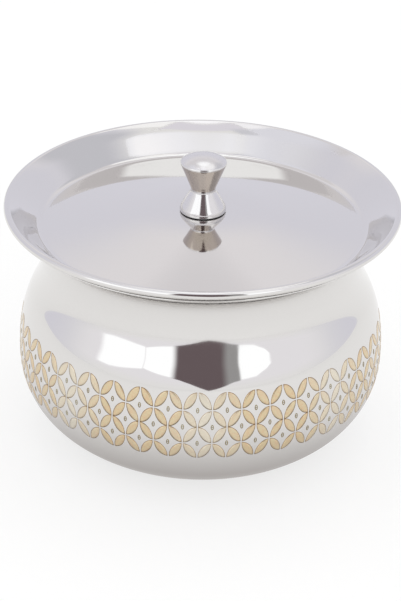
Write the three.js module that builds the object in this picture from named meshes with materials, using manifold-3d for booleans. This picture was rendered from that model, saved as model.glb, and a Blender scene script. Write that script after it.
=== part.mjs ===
// A belly pot with a flared mouth and a lift-off dished lid, spun from stainless sheet.
// Millimetres, +Z up. The pot stands on z = 0 and everything is turned about the Z axis.

import * as THREE from 'three';
import Module from 'manifold-3d';
import { mergeVertices } from 'three/addons/utils/BufferGeometryUtils.js';

const wasm = await Module();
wasm.setup();

// Pot, over its outer skin, from the foot up
const potWall = 1.0;
const bellyRadius = 102.3;
const bellyHeight = 55;
const footSag = 8.9;
const footBlendHeight = 3;
const footRounding = 7;
const neckRadius = 89.3;
const neckRise = 56;
const crownSag = 21.3;
const flareReach = 16.7;
const flareRise = 24;
const flareLength = 5;
const flareDegrees = 33;
const lowerSquareness = 2.29;
const upperSquareness = 2.4;
const shoulderShare = 0.6;

// Lid, over its upper skin
const lidWall = 0.8;
const seatClearance = 0.3;
const rimOverhang = 4.6;
const beadRadius = 2.2;
const beadWrapDegrees = 235;
const lipLength = 4.9;
const lipDegrees = 38;
const lipRounding = 2.5;
const wallDegrees = 43.2;
const creaseReach = 1.6;
const creaseRounding = 2.5;
const floorDegrees = 8.6;
const crownRadius = 40;
const padMargin = 0.8;

// Knob, turned from solid bar, from its seat up
const knobRadius = 12.9;
const knobBand = 2.2;
const knobBaseRounding = 1.6;
const waistRadius = 6.9;
const lowerConeHeight = 9.9;
const waistHeight = 1.6;
const upperConeHeight = 15.6;
const knobTopRadius = 13.2;
const knobTopRounding = 1.2;
const knobDomeRise = 4.1;
const knobEdgeBreak = 0.4;

// Gasket, washers and screw that hold the knob to the lid
const gasketThickness = 0.5;
const gasketInset = 0.3;
const shankRadius = 2.0;
const shankClearance = 0.3;
const threadEngagement = 8;
const boreEndGap = 1.5;
const tipChamfer = 0.5;
const plainWasherRadius = 6;
const plainWasherThickness = 1.0;
const springWasherRadius = 3.9;
const springWasherThickness = 0.9;
const springWasherSlit = 0.8;
const headRadius = 4.0;
const headHeight = 2.4;
const headEdgeHeight = 0.8;
const recessSpan = 4.4;
const recessWidth = 1.0;
const recessDepth = 1.3;

// Facets
const shellSegments = 60;
const knobSegments = 40;
const screwSegments = 28;
const footSteps = 3;
const lowerBellySteps = 8;
const upperBellySteps = 4;
const shoulderSteps = 3;
const flareSteps = 5;
const edgeSteps = 3;
const beadSteps = 8;
const filletSteps = 2;
const crownSteps = 4;
const domeSteps = 5;
const seatSteps = 40;

// Bezier handles, as shares of the height or length that each curve spans
const shoulderHandleShare = 0.24;
const neckHandleShare = 0.435;
const flareHandleShare = 0.76;
const meetingHandleShare = 0.45;
const domeHandleShare = 0.53;

const flareAngle = THREE.MathUtils.degToRad(flareDegrees);
const lipAngle = THREE.MathUtils.degToRad(lipDegrees);
const wallAngle = THREE.MathUtils.degToRad(wallDegrees);
const floorAngle = THREE.MathUtils.degToRad(floorDegrees);
const neckHeight = bellyHeight + neckRise;
const rimRadius = neckRadius + flareReach;
const rimHeight = neckHeight + flareRise;

const steel = { color: 0xd9d7d9, metalness: 1, roughness: 0.12 };
const materials = {
  pot: new THREE.MeshStandardMaterial(steel),
  lid: new THREE.MeshStandardMaterial({ ...steel, color: 0xd2d0d3 }),
  knob: new THREE.MeshStandardMaterial({ ...steel, color: 0xc9c5c1, roughness: 0.2 }),
  gasket: new THREE.MeshStandardMaterial({ color: 0x1b1a1c, metalness: 0, roughness: 0.6 }),
  fastener: new THREE.MeshStandardMaterial({ ...steel, color: 0xb9b9bb, roughness: 0.3 }),
};

const point = (radius, height) => new THREE.Vector2(radius, height);
const heading = (angle) => point(Math.cos(angle), Math.sin(angle));
const along = (start, direction, distance) => start.clone().addScaledVector(direction, distance);

// Points of a curve, without its first one where it carries on from another
function sample(curve, steps, isFirst = false) {
  return curve.getPoints(steps).slice(isFirst ? 0 : 1);
}

// Radius of the belly at a distance from its widest ring, on a squared-off ellipse
function bellyRadiusAt(distance, reach, squareness) {
  return bellyRadius * (1 - (distance / reach) ** squareness) ** (1 / squareness);
}

// Direction of the belly's skin where its radius shrinks by this much for each millimetre
function bellySlopeAt(distance, reach, squareness) {
  const share = distance / reach;
  const falloff = (1 - share ** squareness) ** (1 / squareness - 1);
  return (bellyRadius / reach) * falloff * share ** (squareness - 1);
}

// A belly point at a height, by the lower curve up to the widest ring and the upper one past it
function bellyPoint(height) {
  const isLower = height < bellyHeight;
  const distance = Math.abs(height - bellyHeight);
  const reach = isLower ? bellyHeight + footSag : neckRise + crownSag;
  const squareness = isLower ? lowerSquareness : upperSquareness;
  return point(bellyRadiusAt(distance, reach, squareness), height);
}

// Heights spaced so that the curve's points bunch up where it turns away from upright
function bellyPoints(end, steps) {
  const span = end - bellyHeight;
  const heights = Array.from({ length: steps }, (_, i) => (
    bellyHeight + span * Math.sin(((i + 1) / steps) * (Math.PI / 2))
  ));
  return heights.map(bellyPoint);
}

// The rounded foot, from the flat that the pot stands on to the belly curve
function footCurve() {
  const drop = bellyHeight - footBlendHeight;
  const slope = bellySlopeAt(drop, bellyHeight + footSag, lowerSquareness);
  const end = bellyPoint(footBlendHeight);
  const corner = point(end.x - slope * footBlendHeight, 0);
  return new THREE.QuadraticBezierCurve(point(corner.x - footRounding, 0), corner, end);
}

// From the belly's shoulder in to the upright neck
function shoulderCurve(start) {
  const rise = start.y - bellyHeight;
  const slope = bellySlopeAt(rise, neckRise + crownSag, upperSquareness);
  const height = neckHeight - start.y;
  const tangent = point(-slope, 1).normalize();
  return new THREE.CubicBezierCurve(
    start,
    along(start, tangent, height * shoulderHandleShare),
    point(neckRadius, neckHeight - height * neckHandleShare),
    point(neckRadius, neckHeight),
  );
}

// From the neck out to the straight part of the flare
function flareCurve() {
  const slope = heading(flareAngle);
  const end = along(point(rimRadius, rimHeight), slope, -flareLength);
  const height = end.y - neckHeight;
  return new THREE.CubicBezierCurve(
    point(neckRadius, neckHeight),
    point(neckRadius, neckHeight + height * flareHandleShare),
    along(end, slope, -height * meetingHandleShare),
    end,
  );
}

// Outer skin of the pot, from the axis to the edge of its rim
function potSkin() {
  const shoulder = bellyPoint(bellyHeight + neckRise * shoulderShare);
  const lower = bellyPoints(footBlendHeight, lowerBellySteps).reverse();
  return [
    point(0, 0),
    ...sample(footCurve(), footSteps, true),
    ...lower.slice(1),
    bellyPoint(bellyHeight),
    ...bellyPoints(shoulder.y, upperBellySteps),
    ...sample(shoulderCurve(shoulder), shoulderSteps),
    ...sample(flareCurve(), flareSteps),
    point(rimRadius, rimHeight),
  ];
}

// Arc that rounds a corner between two straight runs, no further than the shorter one is long
function roundedCorner(before, corner, after, radius) {
  const reach = Math.min(radius, before.distanceTo(corner), after.distanceTo(corner));
  const start = along(corner, before.clone().sub(corner).normalize(), reach);
  const end = along(corner, after.clone().sub(corner).normalize(), reach);
  return sample(new THREE.QuadraticBezierCurve(start, corner, end), filletSteps, true);
}

// Height of the upper skin of the lid's sloping wall, which rests on the rounded turn of the flare
const wallNormal = point(-Math.sin(wallAngle), Math.cos(wallAngle));
const seatReach = Math.max(...flareCurve().getPoints(seatSteps).map((p) => p.dot(wallNormal)));
const wallReach = seatReach + potWall + seatClearance + lidWall;
const lidWallHeight = (radius) => (wallReach - radius * wallNormal.x) / wallNormal.y;

// Places that the lid and the pieces on it share
const edgeRadius = rimRadius + rimOverhang;
const lipNormal = point(-Math.sin(lipAngle), Math.cos(lipAngle));
const lipEndRadius = edgeRadius - beadRadius + beadRadius * lipNormal.x;
const lipRadius = lipEndRadius - lipLength * Math.cos(lipAngle);
const lip = point(lipRadius, lidWallHeight(lipRadius));
const lipEnd = along(lip, heading(lipAngle), lipLength);
const beadCentre = along(lipEnd, lipNormal, -beadRadius);
const creaseRadius = neckRadius + creaseReach;
const crease = point(creaseRadius, lidWallHeight(creaseRadius));
const crownEnd = point(crownRadius, crease.y + (creaseRadius - crownRadius) * Math.tan(floorAngle));
const padRadius = knobRadius + padMargin;
const padHeight = crownEnd.y + ((crownRadius - padRadius) * Math.tan(floorAngle)) / 2;
const knobSeat = padHeight + gasketThickness;
const holeRadius = shankRadius + shankClearance;
const headTop = padHeight - lidWall - plainWasherThickness - springWasherThickness;

// Upper skin of the lid: pad, rounded crown, sloping floor, wall, flatter lip and rolled edge
function lidSkin() {
  const pad = point(padRadius, padHeight);
  const crownCorner = point((padRadius + crownRadius) / 2, padHeight);
  const beadStart = Math.PI / 2 + lipAngle;
  const beadEnd = beadStart - THREE.MathUtils.degToRad(beadWrapDegrees);
  const bead = new THREE.EllipseCurve(
    beadCentre.x, beadCentre.y, beadRadius, beadRadius, beadStart, beadEnd, true,
  );
  return [
    point(holeRadius, padHeight),
    ...sample(new THREE.QuadraticBezierCurve(pad, crownCorner, crownEnd), crownSteps, true),
    ...roundedCorner(crownEnd, crease, lip, creaseRounding),
    ...roundedCorner(crease, lip, lipEnd, lipRounding),
    ...sample(bead, beadSteps, true),
  ];
}

// Direction square to a skin at one of its points, to the left of the way it runs
function leftNormal(skin, i) {
  const before = skin[Math.max(i - 1, 0)];
  const after = skin[Math.min(i + 1, skin.length - 1)];
  const here = skin[i];
  const sum = point(0, 0);
  for (const [from, to] of [[before, here], [here, after]]) {
    const run = to.clone().sub(from);
    if (run.length() > 0) sum.add(point(-run.y, run.x).normalize());
  }
  return sum.normalize();
}

// Outline of a sheet that has this skin, the wall to its left, and a rounded outer edge
function sheetOutline(skin, wall) {
  const back = skin.map((p, i) => along(p, leftNormal(skin, i), wall));
  const last = skin.length - 1;
  const edge = skin[last].clone().add(back[last]).multiplyScalar(1 / 2);
  const across = skin[last].clone().sub(edge);
  const outward = point(-across.y, across.x).multiplyScalar(Math.sign(wall));
  const arc = Array.from({ length: edgeSteps - 1 }, (_, i) => {
    const angle = ((i + 1) / edgeSteps) * Math.PI;
    return along(along(edge, across, Math.cos(angle)), outward, Math.sin(angle));
  });
  return [...skin, ...arc, ...back.reverse()];
}

// Solid of revolution about Z, from an outline that closes on itself or at the axis
function turned(outline, segments) {
  const loop = [...outline];
  const opensOffAxis = loop[0].x > 0 || loop[loop.length - 1].x > 0;
  if (opensOffAxis) loop.push(loop[0].clone());
  if (THREE.ShapeUtils.area(outline) < 0) loop.reverse();
  return new THREE.LatheGeometry(loop, segments).rotateX(Math.PI / 2);
}

function makeMesh(name, geometry, material) {
  const mesh = new THREE.Mesh(geometry, material);
  mesh.name = name;
  return mesh;
}

// Spun pot: rounded foot, full belly, drawn-in neck and flared mouth
function makePot() {
  return makeMesh('pot_shell', turned(sheetOutline(potSkin(), potWall), shellSegments), materials.pot);
}

// Pressed lid, with its wall nested in the flare and its edge rolled over the rim
function makeLid() {
  return makeMesh('lid_dish', turned(sheetOutline(lidSkin(), -lidWall), shellSegments), materials.lid);
}

// Turned knob: banded foot, cone up to the waist, wider cone and domed top, bored for the screw
function makeKnob() {
  const boreTop = knobSeat + threadEngagement + boreEndGap;
  const bandTop = point(knobRadius, knobSeat + knobBand);
  const waist = point(waistRadius, bandTop.y + lowerConeHeight);
  const waistTop = point(waistRadius, waist.y + waistHeight);
  const rim = point(knobTopRadius, waistTop.y + upperConeHeight);
  const domeTop = point(0, rim.y + knobDomeRise);
  const domeHandle = point(knobTopRadius * domeHandleShare, domeTop.y);
  const edge = roundedCorner(waistTop, rim, domeHandle, knobTopRounding);
  const dome = new THREE.QuadraticBezierCurve(edge[edge.length - 1], domeHandle, domeTop);
  const outline = [
    point(0, boreTop),
    point(holeRadius, boreTop),
    point(holeRadius, knobSeat),
    point(knobRadius - knobEdgeBreak, knobSeat),
    point(knobRadius, knobSeat + knobEdgeBreak),
    ...roundedCorner(point(knobRadius, knobSeat), bandTop, waist, knobBaseRounding),
    waist,
    waistTop,
    ...edge,
    ...sample(dome, domeSteps),
  ];
  return makeMesh('knob', turned(outline, knobSegments), materials.knob);
}

// Flat turned ring, from its inner to its outer radius
function makeRing(name, innerRadius, outerRadius, bottom, thickness, material) {
  const outline = [
    point(innerRadius, bottom),
    point(outerRadius, bottom),
    point(outerRadius, bottom + thickness),
    point(innerRadius, bottom + thickness),
  ];
  return makeMesh(name, turned(outline, knobSegments), material);
}

// Black rubber ring between the knob and the lid
function makeGasket() {
  const outer = knobRadius - gasketInset;
  return makeRing('knob_gasket', holeRadius, outer, padHeight, gasketThickness, materials.gasket);
}

// Wide washer that spreads the screw's pull over the thin sheet
function makePlainWasher() {
  const bottom = headTop + springWasherThickness;
  return makeRing(
    'plain_washer', holeRadius, plainWasherRadius, bottom, plainWasherThickness, materials.fastener,
  );
}

// Split ring, closed flat under the screw's head
function makeSpringWasher() {
  const outerGap = Math.asin(springWasherSlit / 2 / springWasherRadius);
  const innerGap = Math.asin(springWasherSlit / 2 / holeRadius);
  const ring = new THREE.Shape();
  ring.absarc(0, 0, springWasherRadius, outerGap, Math.PI * 2 - outerGap, false);
  ring.absarc(0, 0, holeRadius, Math.PI * 2 - innerGap, innerGap, true);
  const options = { depth: springWasherThickness, bevelEnabled: false, curveSegments: screwSegments };
  const geometry = new THREE.ExtrudeGeometry(ring, options).translate(0, 0, headTop);
  return makeMesh('spring_washer', geometry, materials.fastener);
}

// A closed geometry as a solid that can be cut
function solidOf(geometry) {
  const bare = geometry.clone();
  bare.deleteAttribute('normal');
  bare.deleteAttribute('uv');
  const merged = mergeVertices(bare);
  return new wasm.Manifold(new wasm.Mesh({
    numProp: 3,
    vertProperties: merged.attributes.position.array,
    triVerts: new Uint32Array(merged.index.array),
  }));
}

function geometryOf(solid) {
  const mesh = solid.getMesh();
  const geometry = new THREE.BufferGeometry();
  geometry.setAttribute('position', new THREE.BufferAttribute(mesh.vertProperties, 3));
  geometry.setIndex(new THREE.BufferAttribute(mesh.triVerts, 1));
  geometry.computeVertexNormals();
  return geometry;
}

// Cross recess in the underside of the screw's head
function recessBars() {
  const height = headHeight;
  const centre = headTop - headHeight + recessDepth - height / 2;
  return [[recessSpan, recessWidth], [recessWidth, recessSpan]].map(([x, y]) => (
    new THREE.BoxGeometry(x, y, height).translate(0, 0, centre)
  ));
}

// Pan-head screw, driven up from under the lid into the knob
function makeScrew() {
  const shankTop = knobSeat + threadEngagement;
  const headBottom = headTop - headHeight;
  const headDome = new THREE.EllipseCurve(
    0, headTop - headEdgeHeight, headRadius, headHeight - headEdgeHeight, -Math.PI / 2, 0,
  );
  const outline = [
    ...sample(headDome, domeSteps, true),
    point(headRadius, headTop),
    point(shankRadius, headTop),
    point(shankRadius, shankTop - tipChamfer),
    point(shankRadius - tipChamfer, shankTop),
    point(0, shankTop),
  ];
  outline[0].set(0, headBottom);
  const blank = solidOf(turned(outline, screwSegments));
  const cut = recessBars().reduce((solid, bar) => solid.subtract(solidOf(bar)), blank);
  return makeMesh('knob_screw', geometryOf(cut), materials.fastener);
}

const lidGroup = new THREE.Group();
lidGroup.add(makeLid(), makeGasket(), makeKnob());

const fasteningGroup = new THREE.Group();
fasteningGroup.add(makePlainWasher(), makeSpringWasher(), makeScrew());

const cookingPot = new THREE.Group();
cookingPot.add(makePot(), lidGroup, fasteningGroup);

export default cookingPot;
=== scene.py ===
"""A polished stainless belly pot with a lift-off dished lid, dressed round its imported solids."""

import math

import bpy
import numpy as np
from mathutils import Matrix, Vector


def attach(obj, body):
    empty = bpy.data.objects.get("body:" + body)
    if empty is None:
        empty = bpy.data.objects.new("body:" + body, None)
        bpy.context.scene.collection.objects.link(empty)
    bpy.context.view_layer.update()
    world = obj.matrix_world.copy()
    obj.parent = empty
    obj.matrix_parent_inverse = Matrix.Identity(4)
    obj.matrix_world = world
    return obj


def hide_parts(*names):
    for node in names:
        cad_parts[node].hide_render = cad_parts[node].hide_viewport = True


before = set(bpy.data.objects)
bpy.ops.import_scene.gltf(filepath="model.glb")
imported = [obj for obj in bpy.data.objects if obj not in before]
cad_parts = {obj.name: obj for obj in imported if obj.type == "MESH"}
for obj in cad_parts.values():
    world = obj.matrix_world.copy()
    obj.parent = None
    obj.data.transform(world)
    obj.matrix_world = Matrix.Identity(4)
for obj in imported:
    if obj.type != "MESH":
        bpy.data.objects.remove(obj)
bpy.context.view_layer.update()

MM = 0.001

# Pot, over its outer skin, in millimetres
POT_WALL = 1.0
BELLY_RADIUS = 102.3
BELLY_HEIGHT = 55
FOOT_SAG = 8.9
FOOT_BLEND_HEIGHT = 3
FOOT_ROUNDING = 7
NECK_RADIUS = 89.3
NECK_RISE = 56
CROWN_SAG = 21.3
FLARE_REACH = 16.7
FLARE_RISE = 24
FLARE_LENGTH = 5
FLARE_ANGLE = math.radians(33)
LOWER_SQUARENESS = 2.29
UPPER_SQUARENESS = 2.4
SHOULDER_SHARE = 0.6
SHOULDER_HANDLE_SHARE = 0.24
NECK_HANDLE_SHARE = 0.435
FLARE_HANDLE_SHARE = 0.76
MEETING_HANDLE_SHARE = 0.45

# Lid, over its upper skin, in millimetres
LID_WALL = 0.8
SEAT_CLEARANCE = 0.3
RIM_OVERHANG = 4.6
BEAD_RADIUS = 2.2
BEAD_WRAP = math.radians(235)
LIP_LENGTH = 4.9
LIP_ANGLE = math.radians(38)
LIP_ROUNDING = 2.5
WALL_ANGLE = math.radians(43.2)
CREASE_REACH = 1.6
CREASE_ROUNDING = 2.5
FLOOR_ANGLE = math.radians(8.6)
CROWN_RADIUS = 40
PAD_MARGIN = 0.8

# Knob, from its seat up, in millimetres
KNOB_RADIUS = 12.9
KNOB_BAND = 2.2
KNOB_BASE_ROUNDING = 1.6
WAIST_RADIUS = 6.9
LOWER_CONE_HEIGHT = 9.9
WAIST_HEIGHT = 1.6
UPPER_CONE_HEIGHT = 15.6
KNOB_TOP_RADIUS = 13.2
KNOB_TOP_ROUNDING = 1.2
KNOB_DOME_RISE = 4.1
DOME_HANDLE_SHARE = 0.53
KNOB_EDGE_BREAK = 0.4
WAIST_ROUNDING = 0.9

# Fastening under the knob, in millimetres
GASKET_THICKNESS = 0.5
GASKET_INSET = 0.3
GASKET_EDGE_BREAK = 0.15
SHANK_RADIUS = 2.0
SHANK_CLEARANCE = 0.3
THREAD_ENGAGEMENT = 8
BORE_END_GAP = 1.5

# Heights and radii that follow from these
NECK_HEIGHT = BELLY_HEIGHT + NECK_RISE
RIM_RADIUS = NECK_RADIUS + FLARE_REACH
RIM_HEIGHT = NECK_HEIGHT + FLARE_RISE
LOWER_REACH = BELLY_HEIGHT + FOOT_SAG
UPPER_REACH = NECK_RISE + CROWN_SAG

# Etched band, drawn in steps round the belly and rows up it: one petal in each cell of a step and a
# row, and one circle over two steps and two rows
BAND_STEPS = 80
BAND_ROWS = 4
BAND_STEP_ANGLE = 2 * math.pi / BAND_STEPS
BAND_START_ANGLE = math.radians(-0.45)
BAND_STEP_LENGTH = BELLY_RADIUS * BAND_STEP_ANGLE
BAND_FOOT_HEIGHT = 36.3
BAND_ROW_HEIGHT = 10.175

# Its sectors: steps in each, shares of one over which it darkens and pales again, and how much
# single columns stray from that
SECTOR_STEPS = 10
BURN_RISE = (0, 0.35)
BURN_FALL = (1.05, 0.8)
BURN_SPREAD = 0.3
BURN_SEED = 7

# Its petals, and the ovals with a bar across between them, in millimetres but for the scale and the
# counts
CIRCLE_GAP = 0.85
PETAL_OUTLINE = 0.3
FILL_SCALE = 0.96
PETAL_LIFT = 0.03
FILL_LIFT = 0.06
ETCH_SINK = 0.1
OVALS_IN_A_ROW = 40
OVAL_ROWS = 3
OVAL_REACH = (0.85, 1.6)
OVAL_STROKE = 0.5
OVAL_BAR_REACH = (0.5, 0.14)
OVAL_BAR_STROKE = 0.22

# Fineness of the turned pieces: faces round, and points in each run of their outlines
POT_TURNS = 240
KNOB_TURNS = 96
SHORT_STEPS = 4
SHEET_EDGE_STEPS = 9
FOOT_STEPS = 12
LOWER_BELLY_STEPS = 44
UPPER_BELLY_STEPS = 24
NECK_STEPS = 18
FLARE_STEPS = 20
SEAT_STEPS = 40
CROWN_STEPS = 16
FLOOR_STEPS = 16
CREASE_STEPS = 12
WALL_STEPS = 8
BEAD_STEPS = 40
KNOB_EDGE_STEPS = 8
WAIST_STEPS = 6
LOWER_CONE_STEPS = 6
UPPER_CONE_STEPS = 10
DOME_STEPS = 20

# Fineness of a petal, along and across, and of an oval, round and across
PETAL_GRID = (13, 5)
OVAL_GRID = (25, 2)

# How near two points, or a point and the axis, count as one: in millimetres for an outline, in
# metres for a turned mesh, and in steps of the band for a slab
SAME_POINT = 1e-5
AXIS_REACH = 1e-4
TURNED_MERGE = 1e-6
SLAB_MERGE = 1e-5


def linear(hex_colour, alpha=1.0):
    """An sRGB hex colour as the linear values that Blender's sockets take."""
    parts = [int(hex_colour[i:i + 2], 16) / 255 for i in (1, 3, 5)]
    return [c / 12.92 if c <= 0.04045 else ((c + 0.055) / 1.055) ** 2.4 for c in parts] + [alpha]


def node(tree, kind, inputs=None, **settings):
    """Adds a node, with its properties set and its inputs filled in or linked."""
    made = tree.nodes.new(kind)
    for name, value in settings.items():
        setattr(made, name, value)
    for key, value in (inputs or {}).items():
        if isinstance(value, bpy.types.NodeSocket):
            tree.links.new(value, made.inputs[key])
        else:
            made.inputs[key].default_value = value
    return made


# Outlines, as rows of radius and height in millimetres

def bezier(handles, count):
    """Points along a Bezier curve, both ends included."""
    t = np.linspace(0, 1, count)[:, None]
    order = len(handles) - 1
    weights = [math.comb(order, i) * t**i * (1 - t)**(order - i) for i in range(order + 1)]
    return sum(weight * np.array(handle, float) for weight, handle in zip(weights, handles))


def straight(start, end, count):
    return np.linspace(start, end, count)


def arc(centre, radius, start, end, count):
    """Points on a circle, from a start angle to an end angle."""
    t = np.linspace(start, end, count)
    return np.column_stack([centre[0] + radius * np.cos(t), centre[1] + radius * np.sin(t)])


def rounded(before, corner, after, length, count):
    """The curve that takes a corner off, starting and ending this far from it."""
    before, corner, after = (np.array(p, float) for p in (before, corner, after))
    start = corner + (before - corner) * length / np.linalg.norm(before - corner)
    end = corner + (after - corner) * length / np.linalg.norm(after - corner)
    return bezier([start, corner, end], count)


def joined(*runs):
    """Runs of points as one row, with points that repeat left out."""
    row = np.vstack([np.atleast_2d(np.array(run, float)) for run in runs])
    steps = np.linalg.norm(np.diff(row, axis=0), axis=1)
    return row[np.concatenate([[True], steps > SAME_POINT])]


def left_normals(row):
    """Direction square to a row of points at each one, to the left of the way it runs."""
    runs = np.diff(row, axis=0)
    normals = np.column_stack([-runs[:, 1], runs[:, 0]]) / np.linalg.norm(runs, axis=1)[:, None]
    sums = np.vstack([normals[:1], normals[:-1] + normals[1:], normals[-1:]])
    return sums / np.linalg.norm(sums, axis=1)[:, None]


def sheet(skin, wall):
    """Outline of a sheet with this skin, the wall to its left and a rounded outer edge."""
    back = skin + left_normals(skin) * wall
    edge = (skin[-1] + back[-1]) / 2
    across = skin[-1] - edge
    outward = np.array([-across[1], across[0]]) * np.sign(wall)
    turn = np.linspace(0, math.pi, SHEET_EDGE_STEPS)[1:-1, None]
    cap = edge + across * np.cos(turn) + outward * np.sin(turn)
    return joined(skin, cap, back[::-1])


def belly_shape(height):
    """Reach and squareness of the belly's curve above or below its widest ring."""
    if height < BELLY_HEIGHT:
        return LOWER_REACH, LOWER_SQUARENESS
    return UPPER_REACH, UPPER_SQUARENESS


def belly_radius(height):
    reach, squareness = belly_shape(height)
    share = abs(height - BELLY_HEIGHT) / reach
    return BELLY_RADIUS * (1 - share**squareness) ** (1 / squareness)


def belly_slope(height):
    """How much the belly's radius shrinks for each millimetre away from its widest ring."""
    reach, squareness = belly_shape(height)
    share = abs(height - BELLY_HEIGHT) / reach
    falloff = (1 - share**squareness) ** (1 / squareness - 1)
    return BELLY_RADIUS / reach * falloff * share ** (squareness - 1)


def flare_handles():
    """Handles of the curve from the neck out to the straight part of the flare."""
    slope = np.array([math.cos(FLARE_ANGLE), math.sin(FLARE_ANGLE)])
    end = np.array([RIM_RADIUS, RIM_HEIGHT]) - slope * FLARE_LENGTH
    rise = end[1] - NECK_HEIGHT
    return [
        (NECK_RADIUS, NECK_HEIGHT),
        (NECK_RADIUS, NECK_HEIGHT + rise * FLARE_HANDLE_SHARE),
        end - slope * rise * MEETING_HANDLE_SHARE,
        end,
    ]


def pot_skin():
    """Outer skin of the pot, from the axis to the edge of its rim."""
    foot_end = (belly_radius(FOOT_BLEND_HEIGHT), FOOT_BLEND_HEIGHT)
    corner = (foot_end[0] - belly_slope(FOOT_BLEND_HEIGHT) * FOOT_BLEND_HEIGHT, 0)
    foot_start = (corner[0] - FOOT_ROUNDING, 0)
    lower_turn = np.linspace(math.pi / 2, 0, LOWER_BELLY_STEPS)
    lower = BELLY_HEIGHT - (BELLY_HEIGHT - FOOT_BLEND_HEIGHT) * np.sin(lower_turn)
    shoulder_height = BELLY_HEIGHT + NECK_RISE * SHOULDER_SHARE
    upper = np.linspace(BELLY_HEIGHT, shoulder_height, UPPER_BELLY_STEPS)
    belly = [(belly_radius(z), z) for z in [*lower, *upper]]
    shoulder = np.array(belly[-1])
    tangent = np.array([-belly_slope(shoulder_height), 1])
    tangent /= np.linalg.norm(tangent)
    rise = NECK_HEIGHT - shoulder_height
    neck = (NECK_RADIUS, NECK_HEIGHT)
    into_neck = [
        shoulder,
        shoulder + tangent * rise * SHOULDER_HANDLE_SHARE,
        (NECK_RADIUS, NECK_HEIGHT - rise * NECK_HANDLE_SHARE),
        neck,
    ]
    into_flare = flare_handles()
    return joined(
        straight((0, 0), foot_start, FOOT_STEPS),
        bezier([foot_start, corner, foot_end], FOOT_STEPS),
        belly,
        bezier(into_neck, NECK_STEPS),
        bezier(into_flare, FLARE_STEPS),
        straight(into_flare[-1], (RIM_RADIUS, RIM_HEIGHT), SHORT_STEPS),
    )


WALL_NORMAL = np.array([-math.sin(WALL_ANGLE), math.cos(WALL_ANGLE)])
SEAT_REACH = (bezier(flare_handles(), SEAT_STEPS + 1) @ WALL_NORMAL).max()
WALL_REACH = SEAT_REACH + POT_WALL + SEAT_CLEARANCE + LID_WALL


def lid_wall_height(radius):
    """Height of the upper skin of the lid's wall, which rests on the rounded turn of the flare."""
    return (WALL_REACH - radius * WALL_NORMAL[0]) / WALL_NORMAL[1]


EDGE_RADIUS = RIM_RADIUS + RIM_OVERHANG
BEAD_START = math.pi / 2 + LIP_ANGLE
BEAD_REACH = (BEAD_RADIUS * math.cos(BEAD_START), BEAD_RADIUS * math.sin(BEAD_START))
LIP_END_RADIUS = EDGE_RADIUS - BEAD_RADIUS + BEAD_REACH[0]
LIP_RADIUS = LIP_END_RADIUS - LIP_LENGTH * math.cos(LIP_ANGLE)
LIP = (LIP_RADIUS, lid_wall_height(LIP_RADIUS))
LIP_END = (LIP_END_RADIUS, LIP[1] + LIP_LENGTH * math.sin(LIP_ANGLE))
BEAD_CENTRE = (LIP_END[0] - BEAD_REACH[0], LIP_END[1] - BEAD_REACH[1])
CREASE_RADIUS = NECK_RADIUS + CREASE_REACH
CREASE = (CREASE_RADIUS, lid_wall_height(CREASE_RADIUS))
CROWN_END = (CROWN_RADIUS, CREASE[1] + (CREASE_RADIUS - CROWN_RADIUS) * math.tan(FLOOR_ANGLE))
PAD_RADIUS = KNOB_RADIUS + PAD_MARGIN
PAD_HEIGHT = CROWN_END[1] + (CROWN_RADIUS - PAD_RADIUS) * math.tan(FLOOR_ANGLE) / 2
KNOB_SEAT = PAD_HEIGHT + GASKET_THICKNESS
HOLE_RADIUS = SHANK_RADIUS + SHANK_CLEARANCE


def lid_skin():
    """Upper skin of the lid: pad, rounded crown, sloping floor, wall, lip and rolled edge."""
    crown_corner = ((PAD_RADIUS + CROWN_RADIUS) / 2, PAD_HEIGHT)
    crease = rounded(CROWN_END, CREASE, LIP, CREASE_ROUNDING, CREASE_STEPS)
    lip_fillet = rounded(CREASE, LIP, LIP_END, LIP_ROUNDING, CREASE_STEPS)
    bead = arc(BEAD_CENTRE, BEAD_RADIUS, BEAD_START, BEAD_START - BEAD_WRAP, BEAD_STEPS)
    return joined(
        straight((HOLE_RADIUS, PAD_HEIGHT), (PAD_RADIUS, PAD_HEIGHT), SHORT_STEPS),
        bezier([(PAD_RADIUS, PAD_HEIGHT), crown_corner, CROWN_END], CROWN_STEPS),
        straight(CROWN_END, crease[0], FLOOR_STEPS),
        crease,
        straight(crease[-1], lip_fillet[0], WALL_STEPS),
        lip_fillet,
        bead,
    )


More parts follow.
